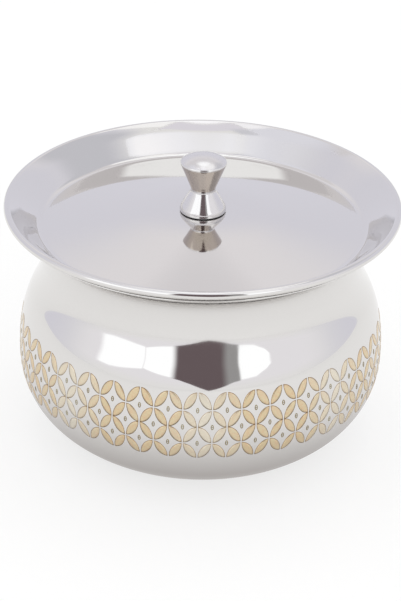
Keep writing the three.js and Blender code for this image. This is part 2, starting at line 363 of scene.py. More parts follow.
def knob_outline():
    """Turned knob, from the top of its bore out, up and in to the crown of its dome."""
    bore_top = KNOB_SEAT + THREAD_ENGAGEMENT + BORE_END_GAP
    band_top = (KNOB_RADIUS, KNOB_SEAT + KNOB_BAND)
    waist = (WAIST_RADIUS, band_top[1] + LOWER_CONE_HEIGHT)
    waist_top = (WAIST_RADIUS, waist[1] + WAIST_HEIGHT)
    rim = (KNOB_TOP_RADIUS, waist_top[1] + UPPER_CONE_HEIGHT)
    dome_top = (0, rim[1] + KNOB_DOME_RISE)
    dome_handle = (KNOB_TOP_RADIUS * DOME_HANDLE_SHARE, dome_top[1])
    edge = rounded(waist_top, rim, dome_handle, KNOB_TOP_ROUNDING, KNOB_EDGE_STEPS)
    bore_edge = (HOLE_RADIUS, KNOB_SEAT)
    seat_edge = (KNOB_RADIUS, KNOB_SEAT)
    shoulder = rounded(seat_edge, band_top, waist, KNOB_BASE_ROUNDING, KNOB_EDGE_STEPS)
    lower_fillet = rounded(band_top, waist, waist_top, WAIST_ROUNDING, WAIST_STEPS)
    upper_fillet = rounded(waist, waist_top, rim, WAIST_ROUNDING, WAIST_STEPS)
    return joined(
        (0, bore_top),
        (HOLE_RADIUS, bore_top),
        bore_edge,
        rounded(bore_edge, seat_edge, band_top, KNOB_EDGE_BREAK, SHORT_STEPS),
        shoulder,
        straight(shoulder[-1], lower_fillet[0], LOWER_CONE_STEPS),
        lower_fillet,
        upper_fillet,
        straight(upper_fillet[-1], edge[0], UPPER_CONE_STEPS),
        edge,
        bezier([edge[-1], dome_handle, dome_top], DOME_STEPS),
    )


def gasket_outline():
    """Flat rubber ring with its outer edges broken."""
    outer = KNOB_RADIUS - GASKET_INSET
    low = (outer, PAD_HEIGHT)
    high = (outer, KNOB_SEAT)
    inner_low, inner_high = (HOLE_RADIUS, PAD_HEIGHT), (HOLE_RADIUS, KNOB_SEAT)
    return joined(
        inner_low,
        rounded(inner_low, low, high, GASKET_EDGE_BREAK, SHORT_STEPS),
        rounded(low, high, inner_high, GASKET_EDGE_BREAK, SHORT_STEPS),
        inner_high,
    )


# Geometry Nodes

def new_tree(name, inputs):
    """A Geometry Nodes tree with these named inputs, next to its geometry."""
    tree = bpy.data.node_groups.new(name, "GeometryNodeTree")
    tree.interface.new_socket("Geometry", in_out="OUTPUT", socket_type="NodeSocketGeometry")
    tree.interface.new_socket("Geometry", in_out="INPUT", socket_type="NodeSocketGeometry")
    for label, kind in inputs.items():
        tree.interface.new_socket(label, in_out="INPUT", socket_type="NodeSocket" + kind)
    return tree


def finish_tree(tree, material, geometry):
    """Ends a tree with its instances made real and its material set."""
    real = node(tree, "GeometryNodeRealizeInstances", {0: geometry})
    smooth = node(tree, "GeometryNodeSetShadeSmooth", {0: real.outputs[0], "Shade Smooth": True})
    links = {0: smooth.outputs[0], "Material": material}
    painted = node(tree, "GeometryNodeSetMaterial", links)
    node(tree, "NodeGroupOutput", {0: painted.outputs[0]})


def math_node(tree, operation, *values):
    return node(tree, "ShaderNodeMath", dict(enumerate(values)), operation=operation).outputs[0]


def linked(name, data):
    """A new object with this data, in the scene."""
    piece = bpy.data.objects.new(name, data)
    bpy.context.scene.collection.objects.link(piece)
    return piece


def grown(name, tree, values, points=None):
    """Runs a tree on a row of points and keeps its result as a plain mesh."""
    mesh = bpy.data.meshes.new(name)
    if points is not None:
        mesh.from_pydata([tuple(p) for p in points], [], [])
    piece = linked(name, mesh)
    modifier = piece.modifiers.new("growth", "NODES")
    modifier.node_group = tree
    for item in tree.interface.items_tree:
        if item.in_out == "INPUT" and item.name in values:
            modifier[item.identifier] = values[item.name]
    bpy.context.view_layer.update()
    evaluated = piece.evaluated_get(bpy.context.evaluated_depsgraph_get())
    plain = bpy.data.meshes.new_from_object(evaluated)
    piece.modifiers.remove(modifier)
    piece.data = plain
    plain.name = name
    return piece


def turning_tree():
    """Turns a closed outline, given as points in the XZ plane, into a solid about the Z axis."""
    tree = new_tree("turned about the axis", {"Turns": "Int", "Material": "Material"})
    group_input = node(tree, "NodeGroupInput")
    outline, turns = group_input.outputs["Geometry"], group_input.outputs["Turns"]
    size = node(tree, "GeometryNodeAttributeDomainSize", {0: outline}, component="MESH")
    rows = size.outputs["Point Count"]
    columns = math_node(tree, "ADD", turns, 1)
    grid = node(tree, "GeometryNodeMeshGrid", {"Vertices X": rows, "Vertices Y": columns})
    index = node(tree, "GeometryNodeInputIndex").outputs[0]
    row = math_node(tree, "FLOOR", math_node(tree, "DIVIDE", index, columns))
    column = math_node(tree, "MODULO", index, columns)
    position = node(tree, "GeometryNodeInputPosition").outputs[0]
    links = {0: outline, "Value": position, "Index": row}
    place = node(tree, "GeometryNodeSampleIndex", links, data_type="FLOAT_VECTOR", domain="POINT")
    angle = math_node(tree, "MULTIPLY", math_node(tree, "DIVIDE", column, turns), 2 * math.pi)
    links = {"Vector": place.outputs[0], "Angle": angle}
    turned = node(tree, "ShaderNodeVectorRotate", links, rotation_type="Z_AXIS")
    links = {"Geometry": grid.outputs["Mesh"], "Position": turned.outputs[0]}
    swept = node(tree, "GeometryNodeSetPosition", links)
    links = {0: swept.outputs[0], "Distance": TURNED_MERGE}
    closed = node(tree, "GeometryNodeMergeByDistance", links)
    finish_tree(tree, group_input.outputs["Material"], closed.outputs[0])
    return tree


def turned(name, outline, turns, material):
    """A turned piece, from an outline that closes on itself or on the axis."""
    ends_on_axis = max(outline[0][0], outline[-1][0]) < AXIS_REACH
    loop = outline if ends_on_axis else np.vstack([outline, outline[:1]])
    twice_area = np.sum(loop[:-1, 0] * loop[1:, 1] - loop[1:, 0] * loop[:-1, 1])
    if twice_area > 0:
        loop = loop[::-1]
    points = [(radius * MM, 0, height * MM) for radius, height in loop]
    values = {"Turns": turns, "Material": material}
    return grown(name, turning, values, points)


def slab(tree, flat):
    """A flat mesh as a closed slab, from a height of 0 to 1."""
    up = node(tree, "FunctionNodeInputVector", vector=(0, 0, 1)).outputs[0]
    links = {"Mesh": flat, "Offset": up, "Individual": False}
    raised = node(tree, "GeometryNodeExtrudeMesh", links)
    under = node(tree, "GeometryNodeFlipFaces", {0: flat})
    both = node(tree, "GeometryNodeJoinGeometry")
    tree.links.new(raised.outputs[0], both.inputs[0])
    tree.links.new(under.outputs[0], both.inputs[0])
    links = {0: both.outputs[0], "Distance": SLAB_MERGE}
    return node(tree, "GeometryNodeMergeByDistance", links).outputs[0]


def place_parts(tree):
    position = node(tree, "GeometryNodeInputPosition").outputs[0]
    return node(tree, "ShaderNodeSeparateXYZ", {0: position}).outputs


def moved(tree, mesh, x, y, z=0.0):
    place = node(tree, "ShaderNodeCombineXYZ", {0: x, 1: y, 2: z}).outputs[0]
    return node(tree, "GeometryNodeSetPosition", {"Geometry": mesh, "Position": place}).outputs[0]


def marked(tree, mesh, name, value):
    """Keeps a number on each point for a material to read."""
    links = {"Geometry": mesh, "Name": name, "Value": value}
    settings = {"data_type": "FLOAT", "domain": "POINT"}
    return node(tree, "GeometryNodeStoreNamedAttribute", links, **settings).outputs[0]


def wrapped(tree, mesh, lift):
    """Lays a band drawn in steps and rows round the belly, from inside the sheet to this lift."""
    x, y, z = place_parts(tree)
    height = math_node(tree, "MULTIPLY_ADD", y, BAND_ROW_HEIGHT, BAND_FOOT_HEIGHT)
    is_lower = math_node(tree, "LESS_THAN", height, BELLY_HEIGHT)
    reach = math_node(tree, "MULTIPLY_ADD", is_lower, LOWER_REACH - UPPER_REACH, UPPER_REACH)
    change = LOWER_SQUARENESS - UPPER_SQUARENESS
    squareness = math_node(tree, "MULTIPLY_ADD", is_lower, change, UPPER_SQUARENESS)
    away = math_node(tree, "ABSOLUTE", math_node(tree, "SUBTRACT", height, BELLY_HEIGHT))
    used = math_node(tree, "POWER", math_node(tree, "DIVIDE", away, reach), squareness)
    root = math_node(tree, "DIVIDE", 1, squareness)
    share = math_node(tree, "POWER", math_node(tree, "SUBTRACT", 1, used), root)
    thickness = math_node(tree, "ADD", lift, ETCH_SINK)
    out = math_node(tree, "MULTIPLY_ADD", z, thickness, -ETCH_SINK)
    radius = math_node(tree, "MULTIPLY_ADD", share, BELLY_RADIUS, out)
    radius = math_node(tree, "MULTIPLY", radius, MM)
    angle = math_node(tree, "MULTIPLY_ADD", x, BAND_STEP_ANGLE, BAND_START_ANGLE)
    inward = math_node(tree, "MULTIPLY", radius, -1)
    right = math_node(tree, "MULTIPLY", radius, math_node(tree, "SINE", angle))
    back = math_node(tree, "MULTIPLY", inward, math_node(tree, "COSINE", angle))
    return moved(tree, mesh, right, back, math_node(tree, "MULTIPLY", height, MM))


def flat_grid(tree, side, counts):
    """A square grid of this side, with this many points along and across."""
    sizes = {"Size X": side, "Size Y": side, "Vertices X": counts[0], "Vertices Y": counts[1]}
    return node(tree, "GeometryNodeMeshGrid", sizes).outputs["Mesh"]


def other_leg(tree, leg):
    """The other leg of a right triangle whose longest side is 1."""
    square = math_node(tree, "POWER", leg, 2)
    return math_node(tree, "SQRT", math_node(tree, "SUBTRACT", 1, square))


def petal_tree():
    """Petals of circles in a square grid, each circle drawn a little smaller than its square."""
    inputs = {"Inset": "Float", "Scale": "Float", "Lift": "Float", "Material": "Material"}
    tree = new_tree("petals of the band", inputs)
    given = node(tree, "NodeGroupInput").outputs
    grid = flat_grid(tree, 2, PETAL_GRID)
    x, y, _ = place_parts(tree)
    chord = math_node(tree, "ADD", given["Inset"], math.sqrt(1 / 2))
    along = math_node(tree, "MULTIPLY", x, other_leg(tree, chord))
    arch = other_leg(tree, along)
    width = math_node(tree, "MAXIMUM", math_node(tree, "SUBTRACT", arch, chord), 0)
    petal = slab(tree, moved(tree, grid, along, math_node(tree, "MULTIPLY", y, width)))
    index = node(tree, "GeometryNodeInputIndex").outputs[0]
    column = math_node(tree, "FLOOR", math_node(tree, "DIVIDE", index, BAND_ROWS))
    row = math_node(tree, "MODULO", index, BAND_ROWS)
    cells = node(tree, "GeometryNodeMeshLine", {"Count": BAND_STEPS * BAND_ROWS}).outputs["Mesh"]
    centre = [math_node(tree, "ADD", part, 1 / 2) for part in (column, row)]
    cells = moved(tree, cells, *centre)
    cells = marked(tree, cells, "burn", burn_share(tree, column))
    cells = marked(tree, cells, "middle", centre[0])
    pair = math_node(tree, "FLOOR", math_node(tree, "DIVIDE", math_node(tree, "ADD", row, 1), 2))
    cells = marked(tree, cells, "circle_row", math_node(tree, "MULTIPLY", pair, 2))
    odd = math_node(tree, "MODULO", math_node(tree, "ADD", column, row), 2)
    lean = math_node(tree, "MULTIPLY_ADD", odd, -math.pi / 2, math.pi / 4)
    spin = node(tree, "ShaderNodeCombineXYZ", {2: lean}).outputs[0]
    scales = {0: given["Scale"], 1: given["Scale"], 2: 1.0}
    size = node(tree, "ShaderNodeCombineXYZ", scales).outputs[0]
    links = {"Points": cells, "Instance": petal, "Rotation": spin, "Scale": size}
    laid = node(tree, "GeometryNodeInstanceOnPoints", links)
    real = node(tree, "GeometryNodeRealizeInstances", {0: laid.outputs[0]}).outputs[0]
    finish_tree(tree, given["Material"], wrapped(tree, drawn_in(tree, real), given["Lift"]))
    return tree


def drawn_in(tree, petals):
    """Leaves bare steel round each circle, and between the petals left and right of its centre."""
    x, y, z = place_parts(tree)
    moved_parts = []
    for part, kept, share in [
        (x, "middle", 1 - CIRCLE_GAP / BAND_STEP_LENGTH),
        (y, "circle_row", 1 - CIRCLE_GAP / 2 / BAND_ROW_HEIGHT),
    ]:
        found = node(tree, "GeometryNodeInputNamedAttribute", {"Name": kept}, data_type="FLOAT")
        fixed = found.outputs[0]
        away = math_node(tree, "SUBTRACT", part, fixed)
        moved_parts.append(math_node(tree, "MULTIPLY_ADD", away, share, fixed))
    return moved(tree, petals, *moved_parts, z)


def burn_share(tree, column):
    """How darkly a column is etched: paler where the band's sectors meet, most after a seam."""
    place = math_node(tree, "DIVIDE", math_node(tree, "ADD", column, 1 / 2), SECTOR_STEPS)
    phase = math_node(tree, "FRACT", place)
    shares = [
        node(tree, "ShaderNodeMapRange", {"Value": phase, "From Min": start, "From Max": end})
        for start, end in (BURN_RISE, BURN_FALL)
    ]
    evenly = math_node(tree, "MULTIPLY", *(share.outputs[0] for share in shares))
    chance = node(tree, "FunctionNodeRandomValue", {"Seed": BURN_SEED}, data_type="FLOAT")
    centred = math_node(tree, "SUBTRACT", chance.outputs[1], 1 / 2)
    return math_node(tree, "MULTIPLY_ADD", centred, BURN_SPREAD, evenly)


def oval_tree():
    """Small upright ovals with a bar across, one in each curved diamond between the petals."""
    tree = new_tree("ovals of the band", {"Lift": "Float", "Material": "Material"})
    given = node(tree, "NodeGroupInput").outputs
    grid = flat_grid(tree, 1, OVAL_GRID)
    x, y, _ = place_parts(tree)
    turn = math_node(tree, "MULTIPLY", x, -2 * math.pi)
    units = (BAND_STEP_LENGTH, BAND_ROW_HEIGHT)
    oval = node(tree, "GeometryNodeJoinGeometry")
    for reaches, stroke in [(OVAL_REACH, OVAL_STROKE), (OVAL_BAR_REACH, OVAL_BAR_STROKE)]:
        inward = math_node(tree, "MULTIPLY_ADD", y, stroke, -stroke / 2)
        sides = []
        for reach, unit, wave in zip(reaches, units, ("COSINE", "SINE")):
            radius = math_node(tree, "DIVIDE", math_node(tree, "ADD", inward, reach), unit)
            sides.append(math_node(tree, "MULTIPLY", radius, math_node(tree, wave, turn)))
        tree.links.new(slab(tree, moved(tree, grid, *sides)), oval.inputs[0])
    index = node(tree, "GeometryNodeInputIndex").outputs[0]
    row = math_node(tree, "FLOOR", math_node(tree, "DIVIDE", index, OVALS_IN_A_ROW))
    place = math_node(tree, "MODULO", index, OVALS_IN_A_ROW)
    shift = math_node(tree, "MODULO", row, 2)
    column = math_node(tree, "MULTIPLY_ADD", place, 2, shift)
    count = {"Count": OVALS_IN_A_ROW * OVAL_ROWS}
    cells = node(tree, "GeometryNodeMeshLine", count).outputs["Mesh"]
    cells = moved(tree, cells, column, math_node(tree, "ADD", row, 1))
    cells = marked(tree, cells, "burn", burn_share(tree, column))
    links = {"Points": cells, "Instance": oval.outputs[0]}
    laid = node(tree, "GeometryNodeInstanceOnPoints", links)
    real = node(tree, "GeometryNodeRealizeInstances", {0: laid.outputs[0]})
    finish_tree(tree, given["Material"], wrapped(tree, real.outputs[0], given["Lift"]))
    return tree


# Materials

POLISHED_COLOUR = "#dddbd9"

# The range that Blender's noise mostly keeps to
NOISE_RANGE = (0.3, 0.7)


def empty_material(name):
    """A material and its tree, with nothing in it."""
    material = bpy.data.materials.new(name)
    material.use_nodes = True
    material.node_tree.nodes.clear()
    return material, material.node_tree


def new_material(name):
    """A material with an empty tree, its output and its Principled shader."""
    material, tree = empty_material(name)
    shader = node(tree, "ShaderNodeBsdfPrincipled")
    node(tree, "ShaderNodeOutputMaterial", {"Surface": shader.outputs[0]})
    return material, tree, shader


def object_place(tree):
    """Object coordinates in millimetres, and their distance from the axis."""
    place = node(tree, "ShaderNodeTexCoord").outputs["Object"]
    links = {0: place, "Scale": 1 / MM}
    scaled = node(tree, "ShaderNodeVectorMath", links, operation="SCALE").outputs[0]
    parts = node(tree, "ShaderNodeSeparateXYZ", {0: scaled}).outputs
    squares = [math_node(tree, "POWER", parts[axis], 2) for axis in (0, 1)]
    return scaled, parts[2], math_node(tree, "SQRT", math_node(tree, "ADD", *squares))


def turning_lines(tree, height, radius, spacing):
    """A value that changes only across the marks of a tool held against the turning metal."""
    across = node(tree, "ShaderNodeCombineXYZ", {0: height, 1: radius}).outputs[0]
    settings = {"Vector": across, "Scale": 1 / spacing, "Detail": 3.0, "Roughness": 0.6}
    return node(tree, "ShaderNodeTexNoise", settings, noise_dimensions="2D").outputs["Fac"]


def ranged(tree, value, low, high, start=NOISE_RANGE[0], end=NOISE_RANGE[1]):
    """A value spread from its own range, by default that of noise, over this one."""
    values = {"Value": value, "From Min": start, "From Max": end, "To Min": low, "To Max": high}
    return node(tree, "ShaderNodeMapRange", values).outputs[0]


def blended(tree, share, first, second):
    """A colour this far from the first to the second."""
    links = {"Factor": share, 6: first, 7: second}
    return node(tree, "ShaderNodeMix", links, data_type="RGBA").outputs[2]


def dent(tree, shader, height, depth, strength=1.0):
    """Bumps a shader's surface by a height that reaches this depth, in metres."""
    links = {"Height": height, "Distance": depth, "Strength": strength}
    tree.links.new(node(tree, "ShaderNodeBump", links).outputs[0], shader.inputs["Normal"])


# Stainless steel 304, spun or pressed from sheet and buffed: a mirror, with faint rings left by the
# buffing wheel and patches where its haze and later wiping dull the mirror slightly. The wheel
# reaches the neck less well, so the mirror is duller there, up to where the lid begins. Here and in
# the next materials, spacings, sizes and reaches are in millimetres and depths in metres.
POLISHED_ROUGHNESS = (0.025, 0.07)
NECK_ROUGHNESS = 0.16
NECK_HAZE_REACH = 14
NECK_HAZE_TOP = RIM_HEIGHT - FLARE_LENGTH * 2
BUFFING_SPACING = 0.5
BUFFING_DEPTH = 2e-7
BUFFING_SHARE = 0.35
HAZE_PATCH = 45


def polished_stainless():
    material, tree, shader = new_material("mirror-polished stainless sheet")
    shader.inputs["Metallic"].default_value = 1.0
    shader.inputs["Base Color"].default_value = linear(POLISHED_COLOUR)
    place, height, radius = object_place(tree)
    rings = turning_lines(tree, height, radius, BUFFING_SPACING)
    settings = {"Vector": place, "Scale": 1 / HAZE_PATCH, "Detail": 4.0, "Distortion": 0.6}
    haze = node(tree, "ShaderNodeTexNoise", settings).outputs["Fac"]
    patches = math_node(tree, "MULTIPLY", haze, 1 - BUFFING_SHARE)
    both = math_node(tree, "MULTIPLY_ADD", rings, BUFFING_SHARE, patches)
    buffed = ranged(tree, both, *POLISHED_ROUGHNESS)
    haze_foot = NECK_HEIGHT - NECK_HAZE_REACH
    into_neck = ranged(tree, height, 0, NECK_ROUGHNESS, haze_foot, NECK_HEIGHT)
    below_lid = math_node(tree, "LESS_THAN", height, NECK_HAZE_TOP)
    dull = math_node(tree, "MULTIPLY", into_neck, below_lid)
    tree.links.new(math_node(tree, "ADD", buffed, dull), shader.inputs["Roughness"])
    dent(tree, shader, rings, BUFFING_DEPTH)
    return material


# Stainless steel bar, turned on a lathe: the fine spiral of the tool shows on the cones, the crown
# is blasted to a soft satin, and the upper cone is tinted brown, which fades in at the top of the
# waist and out below the crown
TURNED_COLOUR = "#dbd9d8"
BROWN_CONE_COLOUR = "#bdb3a9"
TURNED_ROUGHNESS = (0.06, 0.16)
TOOL_SPACING = 0.45
TOOL_DEPTH = 1.5e-6
SATIN_HEIGHT = 0.6
SATIN_ROUGHNESS = 0.1
BROWN_FROM_WAIST = (-0.6, 0.2)
BROWN_FROM_CROWN = (-1.2, -0.5)


def turned_stainless():
    material, tree, shader = new_material("turned stainless bar")
    shader.inputs["Metallic"].default_value = 1.0
    _, height, radius = object_place(tree)
    rings = turning_lines(tree, height, radius, TOOL_SPACING)
    waist_top = KNOB_SEAT + KNOB_BAND + LOWER_CONE_HEIGHT + WAIST_HEIGHT
    crown = waist_top + UPPER_CONE_HEIGHT
    above_waist = ranged(tree, height, 0, 1, *(waist_top + rise for rise in BROWN_FROM_WAIST))
    below_crown = ranged(tree, height, 1, 0, *(crown + rise for rise in BROWN_FROM_CROWN))
    brown_share = math_node(tree, "MULTIPLY", above_waist, below_crown)
    colour = blended(tree, brown_share, linear(TURNED_COLOUR), linear(BROWN_CONE_COLOUR))
    tree.links.new(colour, shader.inputs["Base Color"])
    satin = ranged(tree, height, 0.0, 1.0, crown, crown + SATIN_HEIGHT)
    base = ranged(tree, rings, *TURNED_ROUGHNESS)
    roughness = math_node(tree, "MULTIPLY_ADD", satin, SATIN_ROUGHNESS, base)
    tree.links.new(roughness, shader.inputs["Roughness"])
    dent(tree, shader, rings, TOOL_DEPTH)
    return material


# Steel coloured by a laser: a thin oxide, straw to brown by its heat, in fine raster lines, so dull
# and slightly mottled; it is paler where the beam was weaker. The raster is drawn coarser than the
# real one, to show. The coat is the oxide's own faint gloss.
RASTER_SPACING = 0.55
RASTER_CONTRAST = 0.1
MOTTLE_SIZE = 1.6
MOTTLE_RANGE = (0.4, 0.68)
OXIDE_METALLIC = 0.8
OXIDE_ROUGHNESS = 0.34
OXIDE_COAT = 0.5
OXIDE_COAT_ROUGHNESS = 0.2


def etched_steel(name, full, pale, warm):
    material, tree, shader = new_material(name)
    place, height, _ = object_place(tree)
    burn = node(tree, "ShaderNodeAttribute", attribute_name="burn").outputs["Fac"]
    settings = {"Vector": place, "Scale": 1 / MOTTLE_SIZE, "Detail": 2.0}
    mottle = node(tree, "ShaderNodeTexNoise", settings).outputs["Fac"]
    mottled = ranged(tree, mottle, 0, 1, *MOTTLE_RANGE)
    heated = blended(tree, mottled, linear(full), linear(warm))
    phase = math_node(tree, "MULTIPLY", height, 2 * math.pi / RASTER_SPACING)
    raster = math_node(tree, "SINE", phase)
    share = math_node(tree, "MULTIPLY_ADD", raster, RASTER_CONTRAST, burn)
    tree.links.new(blended(tree, share, linear(pale), heated), shader.inputs["Base Color"])
    shader.inputs["Metallic"].default_value = OXIDE_METALLIC
    shader.inputs["Roughness"].default_value = OXIDE_ROUGHNESS
    shader.inputs["Coat Weight"].default_value = OXIDE_COAT
    shader.inputs["Coat Roughness"].default_value = OXIDE_COAT_ROUGHNESS
    return material


# Nitrile rubber, moulded: near black, with a soft grain
RUBBER_COLOURS = ("#161517", "#232224")
RUBBER_GRAIN = 0.35
RUBBER_ROUGHNESS = (0.52, 0.68)


def black_rubber():
    material, tree, shader = new_material("moulded black rubber")
    place, _, _ = object_place(tree)
    settings = {"Vector": place, "Scale": 1 / RUBBER_GRAIN}
    grain = node(tree, "ShaderNodeTexNoise", settings).outputs["Fac"]
    colour = blended(tree, grain, *map(linear, RUBBER_COLOURS))
    tree.links.new(colour, shader.inputs["Base Color"])
    tree.links.new(ranged(tree, grain, *RUBBER_ROUGHNESS), shader.inputs["Roughness"])
    return material


# Stainless steel fasteners, cold-formed and tumbled: bright but not a mirror, with small dents
TUMBLED_COLOURS = ("#b9b9bb", "#cfcecd")
TUMBLE_SIZE = 0.7
TUMBLE_RANGE = (0.0, 0.8)
TUMBLE_DEPTH = 1e-5
TUMBLE_STRENGTH = 0.6
TUMBLED_ROUGHNESS = (0.2, 0.34)


def tumbled_stainless():
    material, tree, shader = new_material("tumbled stainless fasteners")
    shader.inputs["Metallic"].default_value = 1.0
    place, _, _ = object_place(tree)
    settings = {"Vector": place, "Scale": 1 / TUMBLE_SIZE}
    dents = node(tree, "ShaderNodeTexVoronoi", settings).outputs["Distance"]
    colour = blended(tree, dents, *map(linear, TUMBLED_COLOURS))
    tree.links.new(colour, shader.inputs["Base Color"])
    roughness = ranged(tree, dents, *TUMBLED_ROUGHNESS, *TUMBLE_RANGE)
    tree.links.new(roughness, shader.inputs["Roughness"])
    dent(tree, shader, dents, TUMBLE_DEPTH, TUMBLE_STRENGTH)
    return material


# Pieces

turning = turning_tree()
steel = polished_stainless()
knob_steel = turned_stainless()

pot = turned("spun_pot", sheet(pot_skin(), POT_WALL), POT_TURNS, steel)
lid = turned("pressed_lid", sheet(lid_skin(), -LID_WALL), POT_TURNS, steel)
knob = turned("turned_knob", knob_outline(), KNOB_TURNS, knob_steel)
gasket = turned("rubber_ring", gasket_outline(), KNOB_TURNS, black_rubber())

petals = petal_tree()
brown = etched_steel("laser-etched steel, brown", "#a08056", "#b29c7c", "#8f6b43")
gold = etched_steel("laser-etched steel, gold", "#dccba5", "#e4dccb", "#dec09a")
olive = etched_steel("laser-etched steel, olive", "#9a8a62", "#aca27f", "#8d7a55")
etched = [
    grown("petal_lines", petals, {
        "Inset": 0.0,
        "Scale": 1 + PETAL_OUTLINE / 2 / BAND_STEP_LENGTH,
        "Lift": PETAL_LIFT,
        "Material": brown,
    }),
    grown("petal_fills", petals, {
        "Inset": PETAL_OUTLINE / BAND_STEP_LENGTH / 2,
        "Scale": FILL_SCALE,
        "Lift": FILL_LIFT,
        "Material": gold,
    }),
    grown("etched_ovals", oval_tree(), {"Lift": FILL_LIFT, "Material": olive}),
]
for piece in etched:
    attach(piece, "pot")

for piece, body, slot, old_node in [
    (pot, "pot", "pot_steel", "pot_shell"),
    (lid, "lid", "lid_steel", "lid_dish"),
    (knob, "lid", "knob_steel", "knob"),
    (gasket, "lid", "gasket_rubber", "knob_gasket"),
]:
    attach(piece, body)
    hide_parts(old_node)


fastener_steel = tumbled_stainless()
for name in ("plain_washer", "spring_washer", "knob_screw"):
    for slot in bpy.data.objects[name].material_slots:
        slot.material = fastener_steel


# Studio: floor, world, panels, lamps and camera, with reaches and places in metres, the lamps' power
# in watts and the panels' least fade in degrees

PAPER_REACH = 6.0
PAPER_COLOUR = "#9a9a9a"
PAPER_ROUGHNESS = 0.9
PAPER_GLOW = 0.68
WORLD_FILL = 0.9
PANEL_REACH = 3.0
PANEL_SPACING = 0.02
PANEL_GRID = (48, 12)
LEAST_FADE = 0.01
LAMP_SIZE = 1.2
LAMP_POWER = 4
LAMPS = {"front_lamp": (0.5, -1.6, 0.9), "top_lamp": (0, 0.3, 1.8)}

# Grey card under the pot, in millimetres, and the colour that it shows in the polished steel. It is
# painted shadow: it stands for the pot's shade on the floor round its foot, as the lower belly
# mirrors it, thickest within its core and thinning out beyond
PAINTED_SHADOW_COLOUR = "#a09b98"
CARD_HEIGHT = 0.5
CARD_REACH = 600
PAINTED_SHADOW_CORE = 80
PAINTED_SHADOW_DECAY = 45
PAINTED_SHADOW_OPACITY = 0.89
CARD_SIDES = 64

# Each panel: the colour that it shows in the polished steel; how far its left and right sides, its
# foot and its top fade out, in degrees; and its outline as azimuth (0 is the camera's side, 90 the
# right), lowest and highest elevation. Later panels hang nearer.
PANELS = {
    "back_wall": ("#cccad1", 60, 60, 3, 8, [(55, -2, 74), (180, -2, 74), (305, -2, 74)]),
    "back_wall_top": ("#d8d4d5", 30, 30, 16, 4, [(110, 28, 50), (250, 28, 50)]),
    "back_shade": ("#cdc9ca", 14, 14, 3, 3, [(110, 45, 80), (250, 45, 80)]),
    "skylight": ("#ffffff", 6, 6, 4, 3, [(146, 60, 82), (214, 60, 82)]),
    "left_slope": ("#d7d6dc", 20, 12, 14, 2, [
        (-140, 48, 68), (-100, 48, 72), (-75, 48, 76), (-40, 52, 76),
    ]),
    "right_wall": ("#bdbcc1", 22, 14, 10, 5, [
        (70, 34, 72), (80, 34, 71), (90, 34, 69), (100, 34, 66.5), (110, 34, 62), (120, 34, 60),
        (150, 34, 56),
    ]),
    "far_shelf": ("#adabb0", 8, 8, 2, 4, [(150, -2, 8), (210, -2, 8)]),
    "front_wall": ("#dedbdd", 30, 30, 9, 26, [(-95, 0, 64), (95, 0, 64)]),
    "ceiling_ring": ("#f0eef0", 8, 4, 2, 3, [(-120, 69, 83), (-85, 72, 83), (-62, 75, 83)]),
    "ceiling_ring_right": ("#f2f0ef", 6, 8, 2, 3, [
        (62, 76, 83), (75, 73.5, 83), (85, 70.5, 83), (95, 67, 83), (105, 63.5, 83), (115, 61, 83),
        (150, 58, 83),
    ]),
    "ceiling_beam": ("#d6d2d8", 8, 8, 2, 3, [
        (-66, 68, 84), (-40, 74, 84), (50, 74, 84), (66, 71, 84),
    ]),
    "beam_end": ("#c7c6cb", 8, 14, 3, 4, [(-66, 66, 77), (-52, 68, 78), (-34, 70, 79)]),
    "overhead_softbox": ("#eae9ec", 50, 5, 5, 4, [
        (-78, 50, 70), (-50, 50, 70), (-30, 50, 74), (30, 50, 75), (45, 50, 73.5), (60, 50, 71),
        (70, 50, 67.5), (77, 50, 61), (80, 50, 55),
    ]),
    "overhead_glow": ("#f5f3f4", 30, 3, 5, 5, [
        (2, 50, 72), (45, 50, 71), (60, 50, 69), (69, 50, 66), (76, 50, 60), (78, 50, 55),
    ]),
    "zenith": ("#fdfbfe", 0, 0, 3, 0, [(-180, 82, 90), (180, 82, 90)]),
    "left_softbox": ("#ffffff", 1, 1.5, 1, 6, [
        (-35.8, 14.9, 48), (-32.3, 13.7, 48), (-25, 11.8, 48), (-14, 10, 48),
    ]),
    "far_left_softbox": ("#ffffff", 5, 1, 1.5, 6, [
        (-68, 6.4, 46), (-57, 6.8, 46), (-50, 8.7, 46), (-44, 10.9, 46), (-35.2, 14, 46),
    ]),
    "right_softbox": ("#ffffff", 1, 2, 1.2, 8, [
        (23, 7.6, 48), (26, 8, 48), (34.4, 8.9, 48), (38, 11.7, 46), (41.8, 14.3, 40),
        (44.7, 17.6, 34), (46.5, 19.5, 28),
    ]),
    "grey_drape": ("#918f8e", 1, 2, 1, 8, [
        (11, 1.8, 58), (15.5, 4, 58), (20, 6.5, 58), (25.6, 8, 58),
    ]),
    "open_front": ("#625658", 5.5, 6, 0.6, 8, [
        (-18.8, 10.8, 60), (-12, 9, 62), (-5.5, 6, 62), (0.5, 2.5, 62), (5.3, 0, 62), (10, 1.5, 62),
        (15.6, 4.1, 61), (18.6, 5.6, 60),
    ]),
}


